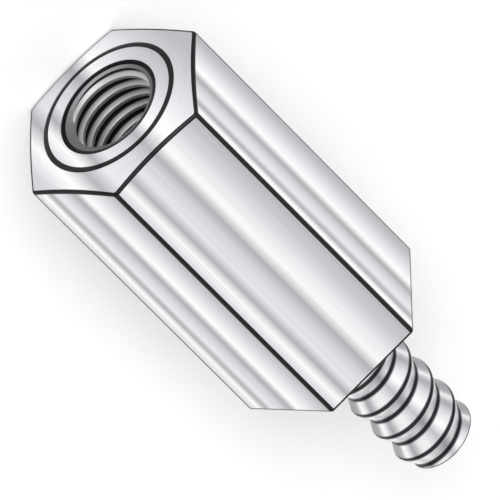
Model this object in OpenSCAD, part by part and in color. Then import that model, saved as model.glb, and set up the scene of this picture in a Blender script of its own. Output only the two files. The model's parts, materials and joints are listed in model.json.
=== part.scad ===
// Male-female hex standoff, turned in one piece from drawn hexagon bar.
// It lies on one flat. +X runs along its axis towards the stud, and +Z is up.
// The origin is the centre of the shoulder, where the hexagon ends and the stud begins.

/* [Hexagon] */
// Width across the flats
across_flats = 6.35; // [5.5:0.05:8]
// Radius of its six corners
corner_round = 0.13; // [0.05:0.01:0.4]
// Length of the hexagon, from end face to shoulder
body_l = 12.7; // [8:0.1:25]

/* [End face] */
// Diameter of the flat land round the hole
land_d = 4.84; // [4:0.02:5.4]
// Slope of the turned chamfer outside the land, in degrees from the face
chamfer_slope = 13; // [5:1:30]

/* [Tapped hole] */
// Diameter of the countersunk mouth
mouth_d = 3.47; // [3.2:0.01:3.9]
// Included angle of the countersink
mouth_angle = 120; // [60:5:130]
// Diameter of the drilled hole, which is the minor diameter of its thread
hole_d = 2.85; // [2:0.01:3.1]
// Metal left between the full depth of the hole and the shoulder
hole_floor = 2.5; // [1.5:0.1:5]
// Point angle of the drill
drill_angle = 118; // [90:1:140]

/* [Stud] */
// Length of the stud from the shoulder to its tip
stud_l = 6.35; // [4:0.05:10]
// Diameter of the stud's shank, just over the crests of its thread
stud_d = 2.8; // [2.5:0.01:3.2]
// Length of plain shank next to the shoulder
shank_l = 0.6; // [0.3:0.05:1.2]
// Chamfer round the tip
tip_chamfer = 0.27; // [0.1:0.01:0.4]

/* [Stud thread] */
// Distance from one crest to the next
pitch = 1.27; // [0.9:0.01:1.5]
// Depth from crest to root
thread_depth = 0.245; // [0.15:0.005:0.35]
// Width of the flat on a crest
crest_flat = 0.06; // [0.05:0.01:0.2]
// Width of the flat at a root
root_flat = 0.06; // [0.05:0.01:0.2]

/* [Hidden] */
$fn = 96;
// Straight pieces in one turn of the thread
turn_steps = 48;
// Straight pieces in one rounded corner of the hexagon
corner_steps = 6;
// How far cutting shapes run past what they cut
over = 1;
// How far the crests lie under the shank's surface
crest_drop = 0.01;
// How much of the full thread is hidden in the shank
hidden_l = 0.4;
// How far the shank's slope runs on under the thread's root
core_sink = 0.1;

corner_r = across_flats / 2 / cos(30);
stud_r = stud_d / 2;
crest_r = stud_r - crest_drop;
root_r = crest_r - thread_depth;
flank_l = (pitch - crest_flat - root_flat) / 2;
hole_l = body_l - hole_floor;
mouth_depth = (mouth_d - hole_d) / 2 / tan(mouth_angle / 2);
point_l = hole_d / 2 / tan(drill_angle / 2);

// Turns what is built along Z to lie along X.
module along_x() {
    rotate([0, 90, 0])
        children();
}

// The bar's section, with its corners rounded.
module bar_section() {
    centre_r = (across_flats / 2 - corner_round) / cos(30);
    polygon([
        for (corner = [0:5], step = [0:corner_steps])
            let (
                middle = corner * 60 + 30,
                angle = middle - 30 + step * 60 / corner_steps
            )
            [
                centre_r * cos(middle) + corner_round * cos(angle),
                centre_r * sin(middle) + corner_round * sin(angle)
            ]
    ]);
}

// The hexagon, with a flat on top and the end face turned to a land and a chamfer.
module hexagon() {
    outer_r = corner_r + over;
    chamfer_l = (outer_r - land_d / 2) * tan(chamfer_slope);
    intersection() {
        translate([0, 0, -body_l])
            linear_extrude(body_l)
                bar_section();
        rotate_extrude()
            polygon([
                [0, -body_l],
                [land_d / 2, -body_l],
                [outer_r, chamfer_l - body_l],
                [outer_r, over],
                [0, over]
            ]);
    }
}

// The drilled and countersunk hole, with its mouth at the end face.
module hole() {
    lip_r = mouth_d / 2 + over * tan(mouth_angle / 2);
    translate([0, 0, -body_l])
        rotate_extrude()
            polygon([
                [0, -over],
                [lip_r, -over],
                [hole_d / 2, mouth_depth],
                [hole_d / 2, hole_l],
                [0, hole_l + point_l]
            ]);
}

// One turn of the thread's outline, as [radius, place along the axis].
function thread_outline() = [
    [root_r, 0],
    [root_r, root_flat],
    [crest_r, root_flat + flank_l],
    [crest_r, root_flat + flank_l + crest_flat]
];

// A point of the outline once it has turned by that many steps.
function thread_point(corner, step) =
    let (angle = step * 360 / turn_steps)
    [
        corner[0] * cos(angle),
        corner[0] * sin(angle),
        corner[1] + step * pitch / turn_steps
    ];

// A rod with a right-hand thread. It starts and ends in one turn of slope, up to a centre point.
module threaded_rod(steps) {
    outline = thread_outline();
    corners = len(outline);
    sides_end = (steps + 1) * corners;
    points = concat(
        [for (step = [0:steps], corner = outline) thread_point(corner, step)],
        [for (step = [steps + 1:steps + turn_steps]) thread_point(outline[0], step)],
        [
            [0, 0, pitch / 2],
            [0, 0, (steps / turn_steps + 1 / 2) * pitch]
        ]
    );
    start_centre = len(points) - 2;
    end_centre = len(points) - 1;
    // The place in the list of a corner, where the one after the last belongs to the next turn
    function at(step, k) =
        k == corners ? at(step + turn_steps, 0) :
        step <= steps ? step * corners + k : sides_end + step - steps - 1;
    sides = [
        for (step = [0:steps - 1], k = [0:corners - 1])
            each [
                [at(step, k), at(step, k + 1), at(step + 1, k)],
                [at(step + 1, k), at(step, k + 1), at(step + 1, k + 1)]
            ]
    ];
    start_slope = [
        for (step = [0:turn_steps - 1])
            [start_centre, at(step, 0), at(step + 1, 0)]
    ];
    end_slope = [
        for (step = [steps:steps + turn_steps - 1])
            [end_centre, at(step + 1, 0), at(step, 0)]
    ];
    start_step = concat([start_centre], [for (k = [corners:-1:0]) at(0, k)]);
    end_step = concat([end_centre], [for (k = [0:corners]) at(steps, k)]);
    polyhedron(
        points = points,
        faces = concat(sides, start_slope, end_slope, [start_step, end_step]),
        convexity = 10
    );
}

// What lies inside the cone that chamfers the tip.
module tip_envelope() {
    wide_r = stud_r + over;
    rotate_extrude()
        polygon([
            [0, -over],
            [wide_r, -over],
            [wide_r, stud_l - tip_chamfer - over],
            [stud_r - tip_chamfer, stud_l],
            [0, stud_l]
        ]);
}

// The plain shank and its slope down into the thread's core, sunk into the hexagon.
module shank() {
    slope_l = stud_r - root_r + core_sink;
    rotate_extrude()
        polygon([
            [0, -over],
            [stud_r, -over],
            [stud_r, shank_l],
            [stud_r - slope_l, shank_l + slope_l],
            [0, shank_l + slope_l]
        ]);
}

// The threaded stud. Its rod starts far enough in for its first turn to be hidden.
module stud() {
    rod_start = shank_l - pitch - hidden_l;
    intersection() {
        union() {
            shank();
            translate([0, 0, rod_start])
                threaded_rod(ceil((stud_l - rod_start) / pitch * turn_steps));
        }
        tip_envelope();
    }
}

module standoff() {
    color([0.82, 0.83, 0.85])
        along_x()
            difference() {
                union() {
                    hexagon();
                    stud();
                }
                hole();
            }
}

standoff();
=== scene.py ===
import json
import math

import bpy
from mathutils import Matrix, Vector


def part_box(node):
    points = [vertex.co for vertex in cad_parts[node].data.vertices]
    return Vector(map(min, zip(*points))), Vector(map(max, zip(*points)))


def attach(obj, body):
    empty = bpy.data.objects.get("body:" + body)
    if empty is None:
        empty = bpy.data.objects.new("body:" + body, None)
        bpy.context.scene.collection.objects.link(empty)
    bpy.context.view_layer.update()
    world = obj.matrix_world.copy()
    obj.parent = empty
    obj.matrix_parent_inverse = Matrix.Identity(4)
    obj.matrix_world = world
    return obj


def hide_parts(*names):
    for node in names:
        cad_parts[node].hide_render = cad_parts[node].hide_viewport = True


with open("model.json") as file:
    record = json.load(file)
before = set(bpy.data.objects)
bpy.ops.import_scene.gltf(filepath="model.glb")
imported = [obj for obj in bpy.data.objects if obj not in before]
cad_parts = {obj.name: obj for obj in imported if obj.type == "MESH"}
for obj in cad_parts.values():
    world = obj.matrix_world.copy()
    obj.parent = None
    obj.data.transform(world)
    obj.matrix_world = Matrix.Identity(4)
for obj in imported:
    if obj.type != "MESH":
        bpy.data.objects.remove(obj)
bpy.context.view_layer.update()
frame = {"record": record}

mm = 0.001

# sizes that come from the frame, in mm, where the shoulder is at x = 0
boxLow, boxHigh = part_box("standoff")
mountSizes = {mount["name"]: mount["dims"] for mount in frame["record"]["mounts"]}
endX = boxLow.x / mm                     # the end face
halfFlats = boxHigh.z / mm               # from the axis to a flat
studLength = boxHigh.x / mm
holeRadius = mountSizes["tapped_hole"]["r_mm"]
shankRadius = mountSizes["stud_shank"]["r_mm"]
shankLength = mountSizes["stud_shank"]["length_mm"]
crestRadius = mountSizes["stud_thread"]["r_mm"]


# Profiles, as (x, radius) points

def cornerArc(before, here, after, rounding, steps):
    back = (before - here).normalized()
    ahead = (after - here).normalized()
    half = back.angle(ahead) / 2
    middle = here + (back + ahead).normalized() * rounding / math.sin(half)
    reach = rounding / math.tan(half)
    first = here + back * reach - middle
    last = here + ahead * reach - middle
    sweep = first.angle_signed(last)
    return [middle + Matrix.Rotation(-sweep * k / steps, 2) @ first for k in range(steps + 1)]


def roundedRun(corners):
    # Each corner is (x, radius, rounding, arc faces, finish, faces of the run that ends here).
    # Returns (point, finish of the faces before it, whether they are a rounded edge).
    places = [Vector(corner[:2]) for corner in corners]
    run = []
    for k, (_, _, rounding, arcSteps, finish, runSteps) in enumerate(corners):
        arc = [places[k]]
        if rounding > 0:
            arc = cornerArc(places[k - 1], places[k], places[k + 1], rounding, arcSteps)
        if run:
            start = run[-1][0]
            for step in range(1, runSteps):
                run.append((start.lerp(arc[0], step / runSteps), finish, False))
        run += [(point, finish, point is not arc[0]) for point in arc]
    return run


def withMargins(run, margins):
    # Widens each rounded edge by a strip of the straight runs beside it.
    # margins: for each finish that has them, the strips at the start and the end of its run
    wider = run[:1]
    following = run[2:] + run[-1:]
    for (before, _, beforeEdge), (here, finish, onEdge), after in zip(run, run[1:], following):
        if finish in margins and not onEdge:
            length = (here - before).length
            startMargin, endMargin = margins[finish]
            if beforeEdge:
                wider.append((before.lerp(here, startMargin / length), finish, True))
            if after[2]:
                wider.append((here.lerp(before, endMargin / length), finish, False))
                onEdge = True
        wider.append((here, finish, onEdge))
    return wider


# The hexagon bar

bar = {
    "cornerRound": 0.13,      # mm, radius along the six corners
    "cornerSteps": 8,         # faces round one corner
    "flatSteps": 24,          # faces across one flat
    "lengthSteps": 12,        # faces along the bar
    "endBreak": 0.09,         # mm, radius where the flats meet the turned ends
    "edgeMargin": 0.03,       # mm on either side of the rounded edges that is painted dark like them
}
flatInset = halfFlats - bar["cornerRound"]
flatHalf = flatInset * math.tan(math.radians(30))


def barColumns():
    # columns of vertices round the bar, whose angle starts at the bottom flat and grows towards +Y
    found = []
    for side in range(6):
        inner = flatHalf - bar["edgeMargin"]
        places = [(halfFlats, -flatHalf, True)]
        for k in range(bar["flatSteps"]):
            places.append((halfFlats, inner * (2 * k / bar["flatSteps"] - 1), False))
        places.append((halfFlats, inner, True))
        for k in range(bar["cornerSteps"]):
            turn = math.radians(60 * k / bar["cornerSteps"])
            outward = flatInset + bar["cornerRound"] * math.cos(turn)
            sideways = flatHalf + bar["cornerRound"] * math.sin(turn)
            places.append((outward, sideways, True))
        for outward, sideways, onCorner in places:
            found.append({
                "angle": math.atan2(sideways, outward) + math.radians(60 * side),
                "radius": math.hypot(outward, sideways),
                "side": side,
                "onCorner": onCorner,     # whether a rounded corner or its margin follows
            })
    return found


# The mesh, built ring by ring

nearAxis = 1e-6               # mm, a ring that is nearer to the axis is one point
columns = barColumns()
columnCount = len(columns)
vertices = []
threadHeights = []            # for each vertex, 0 at the root of a thread and 1 at its crest
faces = []
faceNotes = []                # (finish, column, on a rounded edge) of each face


def addPoint(x, radius, angle, threadHeight=1):
    vertices.append((x * mm, radius * math.sin(angle) * mm, -radius * math.cos(angle) * mm))
    threadHeights.append(threadHeight)
    return len(vertices) - 1


def addFace(corners, finish, column, onEdge=False):
    distinct = []
    for corner in corners:
        if corner not in distinct:
            distinct.append(corner)
    if len(distinct) > 2:
        faces.append(distinct)
        faceNotes.append((finish, column, onEdge))


def addRing(points):
    # one vertex for each column, or one for all of them on the axis
    if points[0].y < nearAxis:
        return [addPoint(points[0].x, 0, 0)] * columnCount
    return [addPoint(point.x, point.y, column["angle"]) for point, column in zip(points, columns)]


def joinRings(ring, newRing, finish, onEdge):
    for this, column in enumerate(columns):
        after = (this + 1) % columnCount
        corners = (ring[this], ring[after], newRing[after], newRing[this])
        if finish == "flat":
            isSide = column["side"] % 3 > 0      # sides 0 and 3 are the bottom and the top
            addFace(corners, "sideFlat" if isSide else "flat", this, onEdge or column["onCorner"])
        else:
            addFace(corners, finish, this, onEdge)


def addRun(runOf, ring=None):
    # the rings of a run, each joined to the ring before it
    runs = [runOf(column) for column in columns]
    for k, (_, finish, onEdge) in enumerate(runs[0]):
        newRing = addRing([run[k][0] for run in runs])
        if ring:
            joinRings(ring, newRing, finish, onEdge)
        ring = newRing
    return ring


# Threads. Each row of vertices climbs as a right-hand helix between two rings.

edgeStep = 0.002              # mm between the places tried for the edge of a thread
spareTurns = 3                # turns worked out past each end of a thread


def threadProfile(size, low, high):
    # One pitch as (offset, radius) points, from the start of the low flat.
    # low and high: (radius, width of its flat, rounding of its corners)
    pitch, arcSteps, flankSteps = size["pitch"], size["arcSteps"], size["flankSteps"]
    lowRadius, lowFlat, lowRound = low
    highRadius, highFlat, highRound = high
    flank = (pitch - lowFlat - highFlat) / 2
    run = roundedRun([
        (-flank, highRadius, 0, 1, "", 1),
        (0, lowRadius, lowRound, arcSteps, "", 1),
        (lowFlat, lowRadius, lowRound, arcSteps, "", 1),
        (lowFlat + flank, highRadius, highRound, arcSteps, "", flankSteps),
        (pitch - flank, highRadius, highRound, arcSteps, "", 1),
        (pitch, lowRadius, 0, 1, "", 1),
    ])
    points = [point for point, _, _ in run[1:-1]]
    start, end = points[-1], points[0] + Vector((pitch, 0))
    return points + [start.lerp(end, k / flankSteps) for k in range(1, flankSteps)]


def profileRadius(profile, pitch, offset):
    offset = (offset - profile[0].x) % pitch + profile[0].x
    points = profile + [profile[0] + Vector((pitch, 0))]
    for here, after in zip(points, points[1:]):
        if offset <= after.x:
            return here.y + (after.y - here.y) * (offset - here.x) / (after.x - here.x)
    return profile[0].y


def addThreadPoint(thread, x, angle):
    return addPoint(x, thread["radiusAt"](x, angle), angle, thread["heightAt"](x, angle))


def threadRing(thread, placeAt):
    return [addThreadPoint(thread, placeAt(column["angle"]), column["angle"]) for column in columns]


def addThread(thread, lowRing, highRing, finish, inward):
    profile, pitch, gap = thread["profile"], thread["pitch"], thread["edgeGap"]
    perTurn = len(profile)
    firstTurn = math.floor((thread["lowAt"](0) - thread["start"]) / pitch) - spareTurns
    lastTurn = math.ceil((thread["highAt"](0) - thread["start"]) / pitch) + spareTurns
    firstRow, lastRow = firstTurn * perTurn, lastTurn * perTurn
    grid = []
    for k, column in enumerate(columns):
        angle = column["angle"]
        lead = thread["start"] + pitch * angle / math.tau
        low, high = thread["lowAt"](angle), thread["highAt"](angle)
        line = []
        for row in range(firstRow, lastRow + perTurn + 1):
            x = lead + pitch * (row // perTurn) + profile[row % perTurn].x
            if x < low + gap:
                line.append(lowRing[k])
            elif x > high - gap:
                line.append(highRing[k])
            else:
                line.append(addThreadPoint(thread, x, angle))
        grid.append(line)
    for this in range(columnCount):
        after = (this + 1) % columnCount
        shift = perTurn if after == 0 else 0     # back at the first column, one turn further on
        for row in range(lastRow - firstRow):
            corners = [
                grid[this][row],
                grid[after][row + shift],
                grid[after][row + 1 + shift],
                grid[this][row + 1],
            ]
            if inward:
                corners.reverse()
            addFace(corners, finish, this)


def firstOnThread(x, step, isPlain):
    # where a thread comes out of the plain surface beside it
    while isPlain(x):
        x += step
    return x


# The end face and the tapped hole

endFace = {
    "landRadius": 2.42,       # mm, the flat land round the hole
    "chamferSlope": 13,       # degrees, outside the land
    "ringRound": 0.4,         # mm, radius between land and chamfer
    "ringMargin": 0.05,       # mm on either side of that radius that is painted dark like it
    "mouthRadius": 1.735,     # mm
    "mouthRound": 0.25,       # mm
    "mouthAngle": 120,        # degrees, included angle of the countersink
}
bore = {
    "pitch": 0.5,             # mm
    "threadDepth": 0.285,     # mm
    "crestFlat": 0.125,       # mm
    "rootFlat": 0.0625,       # mm
    "cornerRound": 0.02,      # mm, at crests and roots
    "arcSteps": 2,            # faces round a corner of the thread
    "flankSteps": 2,          # faces down a flank
    "leadIn": 0.25,           # mm from the end face to the first crest, at the bottom
    "leadFade": 0.17,         # mm from the end face to a groove of full depth
    "threadLength": 7.6,      # mm from the end face
    "endFade": 0.5,           # mm over which the tap ran out
    "edgeGap": 0.006,         # mm beside the thread's ends without vertices of its own
    "holeDepth": 10.2,        # mm
    "drillAngle": 118,        # degrees
    "bottomRound": 0.03,      # mm, radius where the drill's point begins
}
boreStart = endX + bore["leadIn"]
boreEnd = endX + bore["threadLength"]
boreProfile = threadProfile(
    bore,
    low=(holeRadius, bore["crestFlat"], bore["cornerRound"]),
    high=(holeRadius + bore["threadDepth"], bore["rootFlat"], bore["cornerRound"]),
)


def coneRadius(x):
    return endFace["mouthRadius"] - (x - endX) * math.tan(math.radians(endFace["mouthAngle"] / 2))


def tappedDepth(x, angle):
    offset = x - boreStart - bore["pitch"] * angle / math.tau
    return profileRadius(boreProfile, bore["pitch"], offset) - holeRadius


def tappedRadius(x, angle):
    leadFade = (x - endX) / bore["leadFade"]
    endFade = (boreEnd - x) / bore["endFade"]
    return holeRadius + tappedDepth(x, angle) * max(0, min(1, leadFade, endFade))


def mouthEdge(angle):
    return firstOnThread(endX, edgeStep, lambda x: coneRadius(x) > tappedRadius(x, angle))


boreThread = {
    "profile": boreProfile,
    "pitch": bore["pitch"],
    "start": boreStart,
    "lowAt": mouthEdge,
    "highAt": lambda angle: boreEnd,
    "edgeGap": bore["edgeGap"],
    "radiusAt": tappedRadius,
    "heightAt": lambda x, angle: 1 - tappedDepth(x, angle) / bore["threadDepth"],
}


def holeBottom(column):
    # from the drill's point up to the thread, the same for every column
    wallX = endX + bore["holeDepth"]
    pointX = wallX + holeRadius / math.tan(math.radians(bore["drillAngle"] / 2))
    return roundedRun([
        (pointX, 0, 0, 1, "bore", 1),
        (wallX, holeRadius, bore["bottomRound"], 2, "bore", 5),
        (boreEnd, holeRadius, 0, 1, "bore", 5),
    ])


# The stud

stud = {
    "pitch": 1.27,            # mm
    "threadDepth": 0.245,     # mm
    "crestFlat": 0.06,        # mm
    "rootFlat": 0.06,         # mm
    "crestRound": 0.04,       # mm
    "rootRound": 0.04,        # mm
    "arcSteps": 3,            # faces round a corner of the thread
    "flankSteps": 3,          # faces down a flank
    "hiddenLength": 0.4,      # mm of full thread inside the shank
    "edgeGap": 0.015,         # mm beside the thread's ends without vertices of its own
    "shankSlope": 45,         # degrees
    "filletRadius": 0.05,     # mm, where the shank meets the shoulder
    "tipChamfer": 0.27,       # mm
    "cornerBreak": 0.012,     # mm, radius where the shank's slope and the tip's chamfer begin
    "tipEdge": 0.05,          # mm of the thread beside the tip's chamfer that is painted dark like an edge
}
studStart = shankLength - stud["pitch"] - stud["hiddenLength"]
studProfile = threadProfile(
    stud,
    low=(crestRadius - stud["threadDepth"], stud["rootFlat"], stud["rootRound"]),
    high=(crestRadius, stud["crestFlat"], stud["crestRound"]),
)
shankDrop = math.tan(math.radians(stud["shankSlope"]))


def plainRadius(x):
    return shankRadius - max(0, x - shankLength) * shankDrop


def tipRadius(x):
    return shankRadius - stud["tipChamfer"] + studLength - x


def helixRadius(x, angle):
    offset = x - studStart - stud["pitch"] * angle / math.tau
    return profileRadius(studProfile, stud["pitch"], offset)


def shankEdge(angle):
    return firstOnThread(shankLength, edgeStep, lambda x: plainRadius(x) > helixRadius(x, angle))


def tipEdge(angle):
    return firstOnThread(studLength, -edgeStep, lambda x: tipRadius(x) < helixRadius(x, angle))


studThread = {
    "profile": studProfile,
    "pitch": stud["pitch"],
    "start": studStart,
    "lowAt": shankEdge,
    "highAt": tipEdge,
    "edgeGap": stud["edgeGap"],
    "radiusAt": helixRadius,
    "heightAt": lambda x, angle: 1 - (crestRadius - helixRadius(x, angle)) / stud["threadDepth"],
}


def outside(column):
    # from inside the mouth over the end face, the flats and the shoulder to the end of the shank
    slope = math.tan(math.radians(endFace["chamferSlope"]))
    edgeX = endX + (column["radius"] - endFace["landRadius"]) * slope
    mouthX = mouthEdge(column["angle"])
    shankX = shankEdge(column["angle"])
    run = roundedRun([
        (mouthX, coneRadius(mouthX), 0, 1, "countersink", 1),
        (endX, endFace["mouthRadius"], endFace["mouthRound"], 3, "countersink", 1),
        (endX, endFace["landRadius"], endFace["ringRound"], 3, "land", 4),
        (edgeX, column["radius"], bar["endBreak"], 4, "chamfer", 4),
        (0, column["radius"], bar["endBreak"], 4, "flat", bar["lengthSteps"]),
        (0, shankRadius, stud["filletRadius"], 4, "shoulder", 8),
        (shankLength, shankRadius, stud["cornerBreak"], 2, "shank", 1),
        (shankX, plainRadius(shankX), 0, 1, "shank", 1),
    ])
    barMargin, ringMargin = bar["edgeMargin"], endFace["ringMargin"]
    margins = {
        "land": (barMargin, ringMargin),
        "chamfer": (ringMargin, barMargin),
        "flat": (barMargin, barMargin),
        "shoulder": (barMargin, barMargin),
    }
    return withMargins(run, margins)[1:]


def tip(column):
    x = tipEdge(column["angle"])
    run = roundedRun([
        (x, tipRadius(x), 0, 1, "tip", 1),
        (studLength, tipRadius(studLength), stud["cornerBreak"], 2, "tip", 1),
        (studLength, 0, 0, 1, "tip", 5),
    ])
    return run[1:]


holeRing = addRun(holeBottom)
mouthRing = threadRing(boreThread, mouthEdge)
addThread(boreThread, mouthRing, holeRing, "bore", True)
shankRing = addRun(outside, mouthRing)
tipRing = threadRing(studThread, tipEdge)
addThread(studThread, shankRing, tipRing, "thread", False)
addRun(tip, tipRing)
print("standoff mesh:", len(vertices), "vertices,", len(faces), "faces")


# The bands: painted reflections, bright and dark lines along the bar that stand in for the studio
# mirrored in the metal, and their like on the other surfaces

bands = {
    "span": 1.5,              # the ramps cover places from -span to span
    "flatStops": [            # (place across, brightness), on the top and bottom flats and the ends
        (-1.20, 0.60), (-1.00, 0.66), (-0.80, 0.97), (-0.63, 0.45), (-0.46, 0.80), (-0.20, 0.69),
        (0.00, 0.46), (0.21, 0.97), (0.43, 0.83), (0.66, 0.67), (0.95, 0.51), (1.20, 0.48),
    ],
    "sideStops": [            # on the four side flats, whose painted dark bands are darker
        (-1.20, 0.60), (-1.00, 0.66), (-0.80, 0.97), (-0.63, 0.38), (-0.46, 0.80), (-0.20, 0.63),
        (0.00, 0.38), (0.21, 0.97), (0.43, 0.82), (0.66, 0.66), (0.95, 0.48), (1.20, 0.44),
    ],
    # painted reflections along the stud and the shank, with painted shade darkest at their two
    # sides
    "studStops": [
        (-1.00, 0.30), (-0.94, 0.42), (-0.87, 0.95), (-0.70, 0.62), (-0.52, 0.92), (-0.30, 0.86),
        (0.00, 0.52), (0.26, 0.95), (0.45, 0.84), (0.75, 0.66), (0.88, 0.90), (0.94, 0.42),
        (1.00, 0.30),
    ],
    # painted shade in the countersink, darkest at its two sides and lightest across its middle
    "mouthStops": [
        (-1.00, 0.15), (-0.85, 0.18), (-0.60, 0.26), (-0.20, 0.40), (0.30, 0.42), (0.60, 0.33),
        (0.85, 0.20), (1.00, 0.15),
    ],
    "shift": (0.03, -0.04, -0.10, 0, 0.035, -0.02),  # on each flat, from the bottom one towards +Y
    "farthest": 1.2,                 # places on the end face and the shoulder go no further
    "midTint": (0.99, 0.98, 1.04),   # on the middle tones, none on white and black
    "edgeBrightness": 0.035,         # painted dark reflection on a rounded edge, as a share of the surface's own
}


# Places across each surface, from -1 to 1 or a little more, which the finishes read

bandHalf = {"land": endFace["landRadius"], "chamfer": halfFlats, "shoulder": halfFlats}


def placeAcross(vertex, finish, column):
    _, y, z = (value / mm for value in vertices[vertex])
    if finish in ("flat", "sideFlat"):
        side = columns[column]["side"]
        turn = math.radians(60 * side)
        place = -(y * math.cos(turn) + z * math.sin(turn)) / flatHalf
        return max(-1, min(1, place)) - bands["shift"][side]
    if finish in bandHalf:
        farthest = bands["farthest"]
        return max(-farthest, min(farthest, y / bandHalf[finish]))
    return y / max(math.hypot(y, z), nearAxis)


# Edges that stay sharp: where a thread comes out of the countersink, the shank or the tip's chamfer

sharpPairs = ({"countersink", "bore"}, {"shank", "thread"}, {"thread", "tip"})


def markSharpEdges(mesh):
    finishesBeside = {}
    for polygon, (finish, _, _) in zip(mesh.polygons, faceNotes):
        for loop in polygon.loop_indices:
            finishesBeside.setdefault(mesh.loops[loop].edge_index, set()).add(finish)
    for edge, finishes in finishesBeside.items():
        mesh.edges[edge].use_edge_sharp = finishes in sharpPairs


def addMark(mesh, name, domain, values):
    mesh.attributes.new(name, "FLOAT", domain).data.foreach_set("value", values)


def addMarks(mesh):
    places = []
    for polygon, (finish, column, _) in zip(mesh.polygons, faceNotes):
        places += [placeAcross(vertex, finish, column) for vertex in polygon.vertices]
    addMark(mesh, "across", "CORNER", places)
    addMark(mesh, "threadHeight", "POINT", threadHeights)
    addMark(mesh, "roundedEdge", "FACE", [float(onEdge) for _, _, onEdge in faceNotes])


def addFinishes(mesh, materialOf):
    slots = []
    for finish, _, _ in faceNotes:
        if materialOf[finish] not in slots:
            slots.append(materialOf[finish])
    for material in slots:
        mesh.materials.append(material)
    slotNumbers = [slots.index(materialOf[finish]) for finish, _, _ in faceNotes]
    mesh.polygons.foreach_set("material_index", slotNumbers)


def addObject(name, data):
    made = bpy.data.objects.new(name, data)
    bpy.context.scene.collection.objects.link(made)
    return made


def makeStandoff(materialOf):
    mesh = bpy.data.meshes.new("hexStandoff")
    mesh.from_pydata(vertices, [], faces)
    addMarks(mesh)
    addFinishes(mesh, materialOf)
    mesh.shade_smooth()
    markSharpEdges(mesh)
    piece = addObject("hexStandoff", mesh)
    weighted = piece.modifiers.new("flatNormals", "WEIGHTED_NORMAL")
    weighted.keep_sharp = True
    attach(piece, "root")
    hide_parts("standoff")


# Node helpers

noiseRange = (0.3, 0.7)       # where nearly all of a noise texture's values lie
noiseDetail = 2


def addNode(tree, kind, inputs=None, **settings):
    node = tree.nodes.new("ShaderNode" + kind)
    for name, value in settings.items():
        setattr(node, name, value)
    for name, value in (inputs or {}).items():
        if isinstance(value, bpy.types.NodeSocket):
            tree.links.new(value, node.inputs[name])
        else:
            node.inputs[name].default_value = value
    return node


def addRamp(tree, place, stops):
    # stops: (place from 0 to 1, colour)
    ramp = addNode(tree, "ValToRGB", {"Fac": place})
    elements = ramp.color_ramp.elements
    while len(elements) < len(stops):
        elements.new(0.5)
    for element, (position, colour) in zip(elements, stops):
        element.position = position
        element.color = (*colour, 1)
    return ramp.outputs["Color"]


def meshMark(tree, name):
    return addNode(tree, "Attribute", attribute_name=name).outputs["Fac"]


def objectPlace(tree):
    return addNode(tree, "TexCoord").outputs["Object"]


def remapped(tree, value, source, target):
    # takes a value from the first range to the second, each as (low, high)
    node = addNode(tree, "MapRange", {
        "Value": value,
        "From Min": source[0],
        "From Max": source[1],
        "To Min": target[0],
        "To Max": target[1],
    })
    return node.outputs["Result"]


def combined(tree, operation, first, second):
    return addNode(tree, "Math", {0: first, 1: second}, operation=operation).outputs[0]


def scaled(tree, colour, factor):
    inputs = {0: colour, "Scale": factor}
    return addNode(tree, "VectorMath", inputs, operation="SCALE").outputs["Vector"]


def multiplied(tree, vector, other):
    inputs = {0: vector, 1: other}
    return addNode(tree, "VectorMath", inputs, operation="MULTIPLY").outputs["Vector"]


def shaded(tree, colour, noise, shades):
    # multiplies a colour by a number that follows a noise from one shade to the other
    return scaled(tree, colour, remapped(tree, noise, noiseRange, shades))


def streaks(tree, scale, detail=noiseDetail):
    # noise stretched by a different scale along each axis, from 0 to 1
    stretched = addNode(tree, "Mapping", {"Vector": objectPlace(tree), "Scale": scale})
    inputs = {"Vector": stretched.outputs["Vector"], "Scale": 1, "Detail": detail}
    return addNode(tree, "TexNoise", inputs).outputs["Fac"]


def radiusFromAxis(tree):
    flat = multiplied(tree, objectPlace(tree), (0, 1, 1))
    return addNode(tree, "VectorMath", {0: flat}, operation="LENGTH").outputs["Value"]


def turnedRings(tree, scale):
    # noise that changes with the distance from the axis alone, from 0 to 1
    inputs = {"W": radiusFromAxis(tree), "Scale": scale, "Detail": noiseDetail}
    return addNode(tree, "TexNoise", inputs, noise_dimensions="1D").outputs["Fac"]


# Finishes

def newMetal(name, roughness):
    material = bpy.data.materials.new(name)
    material.use_nodes = True
    shader = material.node_tree.nodes["Principled BSDF"]
    shader.inputs["Metallic"].default_value = 1
    shader.inputs["Roughness"].default_value = roughness
    return material, material.node_tree, shader


def bandStops(name):
    stops = []
    for place, brightness in bands[name]:
        tintShare = 4 * brightness * (1 - brightness)
        colour = [brightness * (1 + (tint - 1) * tintShare) for tint in bands["midTint"]]
        stops.append(((place / bands["span"] + 1) / 2, colour))
    return stops


def bandColour(tree, name):
    # the painted reflection bands, with painted dark reflections on the rounded edges
    span = bands["span"]
    place = remapped(tree, meshMark(tree, "across"), (-span, span), (0, 1))
    colour = addRamp(tree, place, bandStops(name))
    darkening = remapped(tree, meshMark(tree, "roundedEdge"), (0, 1), (1, bands["edgeBrightness"]))
    return scaled(tree, colour, darkening)


def addBump(tree, shader, height, finish):
    bump = addNode(tree, "Bump", {
        "Height": height,
        "Strength": finish["bumpStrength"],
        "Distance": finish["bumpDepth"] * mm,
    })
    tree.links.new(bump.outputs["Normal"], shader.inputs["Normal"])


# the drawn flats
drawnFinish = {
    "roughness": (0.2, 0.4),            # from one streak to another
    "streakScale": (60, 9000, 9000),    # per metre along each axis
    "streakDetail": 3,
    "streakShades": (0.95, 1.03),
    "fineScale": (200, 40000, 40000),
    "fineShades": (0.96, 1.03),
    "bumpStrength": 0.3,
    "bumpDepth": 0.004,                 # mm
}


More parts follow.
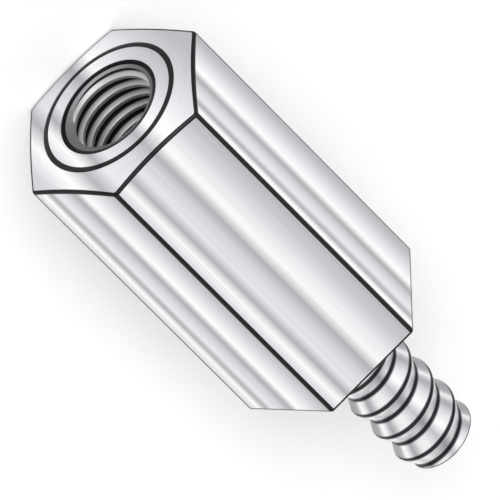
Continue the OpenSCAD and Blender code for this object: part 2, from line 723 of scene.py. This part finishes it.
def makeDrawnBar(name, bandName):
    smooth, rough = drawnFinish["roughness"]
    material, tree, shader = newMetal(name, smooth)
    broad = streaks(tree, drawnFinish["streakScale"], drawnFinish["streakDetail"])
    fine = streaks(tree, drawnFinish["fineScale"])
    # the painted reflection bands, varied by the real streaks of the drawn bar
    colour = shaded(tree, bandColour(tree, bandName), broad, drawnFinish["streakShades"])
    colour = shaded(tree, colour, fine, drawnFinish["fineShades"])
    tree.links.new(colour, shader.inputs["Base Color"])
    tree.links.new(remapped(tree, broad, (0, 1), (smooth, rough)), shader.inputs["Roughness"])
    addBump(tree, shader, fine, drawnFinish)
    return material


# the turned faces and the shank
turnedFinish = {
    "roughness": 0.3,
    "ringScale": 14000,                 # per metre from the axis
    "ringShades": (0.95, 1.03),
    "bumpStrength": 0.3,
    "bumpDepth": 0.004,                 # mm
}


def makeTurned(name, bandName):
    material, tree, shader = newMetal(name, turnedFinish["roughness"])
    rings = turnedRings(tree, turnedFinish["ringScale"])
    # the painted reflection bands, varied by the real turning rings
    colour = shaded(tree, bandColour(tree, bandName), rings, turnedFinish["ringShades"])
    tree.links.new(colour, shader.inputs["Base Color"])
    addBump(tree, shader, rings, turnedFinish)
    return material


# the stud's thread, with painted shade along its root and a painted dark reflection along its crest
cutFinishAndShade = {
    "roughness": 0.3,
    "heightStops": [                    # (height from root to crest, colour), painted shade at the root and a painted dark reflection at the crest
        (0.0, (0.035, 0.035, 0.04)), (0.07, (0.04, 0.04, 0.045)), (0.17, (1, 1, 1)),
        (0.86, (1, 1, 1)), (0.93, (0.04, 0.04, 0.045)),
    ],
    "markScale": (20000, 600, 600),     # per metre along each axis
    "markShades": (0.95, 1.03),
}


# a painted dark reflection on the thread beside the tip's chamfer
def darkTipEdge(tree, colour):
    # the chamfer's cone is where the place along the axis and the radius add up to one number
    x = addNode(tree, "SeparateXYZ", {"Vector": objectPlace(tree)}).outputs["X"]
    reach = combined(tree, "ADD", x, radiusFromAxis(tree))
    coneReach = (studLength + shankRadius - stud["tipChamfer"]) * mm
    edge = stud["tipEdge"] * mm
    source = (coneReach - edge, coneReach - edge / 2)
    return scaled(tree, colour, remapped(tree, reach, source, (1, bands["edgeBrightness"])))


def makeCutThread():
    material, tree, shader = newMetal("cutThread", cutFinishAndShade["roughness"])
    tone = addRamp(tree, meshMark(tree, "threadHeight"), cutFinishAndShade["heightStops"])
    marks = streaks(tree, cutFinishAndShade["markScale"])
    toned = multiplied(tree, bandColour(tree, "studStops"), tone)
    colour = shaded(tree, toned, marks, cutFinishAndShade["markShades"])
    tree.links.new(darkTipEdge(tree, colour), shader.inputs["Base Color"])
    return material


# the tapped hole, with painted shade: black in its grooves and grey on its crests
boreFinishAndShade = {
    "roughness": 0.55,
    "heightStops": [                    # (height from root to crest, colour), all painted shade, black at the root
        (0.0, (0.02, 0.02, 0.02)), (0.42, (0.03, 0.03, 0.03)), (0.52, (0.46, 0.46, 0.47)),
        (0.6, (0.52, 0.52, 0.53)), (1.0, (0.62, 0.62, 0.63)),
    ],
    "ringScale": 20000,                 # per metre from the axis
    "ringShades": (0.93, 1.05),
}


def makeTappedHole():
    material, tree, shader = newMetal("tappedHole", boreFinishAndShade["roughness"])
    tone = addRamp(tree, meshMark(tree, "threadHeight"), boreFinishAndShade["heightStops"])
    rings = turnedRings(tree, boreFinishAndShade["ringScale"])
    tree.links.new(shaded(tree, tone, rings, boreFinishAndShade["ringShades"]), shader.inputs["Base Color"])
    return material


countersinkFinish = {
    "roughness": 0.4,
    "ringScale": 20000,                 # per metre from the axis
    "ringShades": (0.93, 1.05),
}


def makeCountersink():
    material, tree, shader = newMetal("countersink", countersinkFinish["roughness"])
    rings = turnedRings(tree, countersinkFinish["ringScale"])
    # the countersink's painted shade, varied by the real turning rings
    colour = shaded(tree, bandColour(tree, "mouthStops"), rings, countersinkFinish["ringShades"])
    tree.links.new(colour, shader.inputs["Base Color"])
    return material


turned = makeTurned("turnedEnd", "flatStops")
makeStandoff({
    "flat": makeDrawnBar("drawnBar", "flatStops"),
    "sideFlat": makeDrawnBar("drawnBarSide", "sideStops"),
    "land": turned,
    "chamfer": turned,
    "shoulder": turned,
    "tip": turned,
    "shank": makeTurned("turnedShank", "studStops"),
    "thread": makeCutThread(),
    "countersink": makeCountersink(),
    "bore": makeTappedHole(),
})
print("finishes: drawn flats, turned ends, cut thread, tapped hole")


# Floor, light and camera

studio = {
    "floorHalf": 0.6,         # m
    "floorColour": (0.88, 0.88, 0.88, 1),
    "floorRoughness": 0.9,
    "floorLift": 0.20,        # emission that the camera and reflections see
    "ambient": 0.85,          # strength of the sky where it isn't seen directly
    "sky": [(0.0, 0.45), (0.3, 0.65), (0.55, 1.0), (1.0, 1.05)],  # (height, grey)
    "lampPower": 0.46,        # W
    "lampSize": 0.2,          # m
    "lampPlace": (-0.28, 0.05, 0.245),  # m
}


def seenDirectly(tree):
    # 1 for camera, glossy and transmission rays
    path = addNode(tree, "LightPath").outputs
    first = combined(tree, "MAXIMUM", path["Is Camera Ray"], path["Is Glossy Ray"])
    return combined(tree, "MAXIMUM", first, path["Is Transmission Ray"])


def makeFloor():
    half = studio["floorHalf"]
    corners = [(-half, -half), (half, -half), (half, half), (-half, half)]
    mesh = bpy.data.meshes.new("floor")
    mesh.from_pydata([(x, y, boxLow.z) for x, y in corners], [], [(0, 1, 2, 3)])
    floor = addObject("floor", mesh)
    material = bpy.data.materials.new("paleFloor")
    material.use_nodes = True
    tree = material.node_tree
    shader = tree.nodes["Principled BSDF"]
    shader.inputs["Base Color"].default_value = studio["floorColour"]
    shader.inputs["Roughness"].default_value = studio["floorRoughness"]
    shader.inputs["Specular IOR Level"].default_value = 0
    shader.inputs["Emission Color"].default_value = (1, 1, 1, 1)
    lift = combined(tree, "MULTIPLY", seenDirectly(tree), studio["floorLift"])
    tree.links.new(lift, shader.inputs["Emission Strength"])
    mesh.materials.append(material)


def makeWorld():
    # plain white behind the standoff, and a graded sky that lights it and that it mirrors
    world = bpy.data.worlds.new("studio")
    world.use_nodes = True
    tree = world.node_tree
    direction = addNode(tree, "TexCoord").outputs["Generated"]
    height = addNode(tree, "SeparateXYZ", {"Vector": direction}).outputs["Z"]
    sky = addRamp(tree, height, [(z, (grey,) * 3) for z, grey in studio["sky"]])
    isCamera = addNode(tree, "LightPath").outputs["Is Camera Ray"]
    white = addNode(tree, "MixRGB", {"Fac": isCamera, "Color1": sky, "Color2": (1, 1, 1, 1)})
    strength = remapped(tree, seenDirectly(tree), (0, 1), (studio["ambient"], 1))
    background = tree.nodes["Background"]
    tree.links.new(white.outputs["Color"], background.inputs["Color"])
    tree.links.new(strength, background.inputs["Strength"])
    bpy.context.scene.world = world


def makeLamp():
    lamp = bpy.data.lights.new("softBox", "AREA")
    lamp.energy = studio["lampPower"]
    lamp.shape = "SQUARE"
    lamp.size = studio["lampSize"]
    lampObject = addObject("softBox", lamp)
    lampObject.location = studio["lampPlace"]
    lampObject.rotation_euler = Vector(studio["lampPlace"]).to_track_quat("Z", "Y").to_euler()
    lampObject.visible_camera = False


view = {
    "faceShare": 0.61,        # how round the end face looks
    "imageSize": 500,         # pixels
    "pixel": 0.0322,          # mm in one pixel
    "middle": (-0.95, -113.4),  # pixels from the shoulder to the middle, sideways and lengthways
    "lens": 1500,             # mm
    "sensor": 36,             # mm
    "clip": (0.01, 10),       # m
}


def makeCamera():
    faceShare = view["faceShare"]
    axisShare = math.sqrt(1 - faceShare ** 2)
    back = Vector((-faceShare, 0, axisShare))
    sideways = Vector((0, 1, 0))
    lengthways = Vector((axisShare, 0, faceShare))
    right = (sideways + lengthways).normalized()
    up = (sideways - lengthways).normalized()
    pixel = view["pixel"] * mm
    middle = pixel * (view["middle"][0] * sideways + view["middle"][1] * lengthways)
    distance = view["imageSize"] * pixel * view["lens"] / view["sensor"]
    camera = bpy.data.cameras.new("camera")
    camera.lens = view["lens"]
    camera.sensor_width = view["sensor"]
    camera.clip_start, camera.clip_end = view["clip"]
    cameraObject = addObject("camera", camera)
    cameraObject.matrix_world = Matrix((right, up, back)).transposed().to_4x4()
    cameraObject.location = middle + back * distance
    bpy.context.scene.camera = cameraObject


makeFloor()
makeWorld()
makeLamp()
makeCamera()
bpy.context.scene.view_settings.view_transform = "Standard"
print("floor, light and camera are in place")
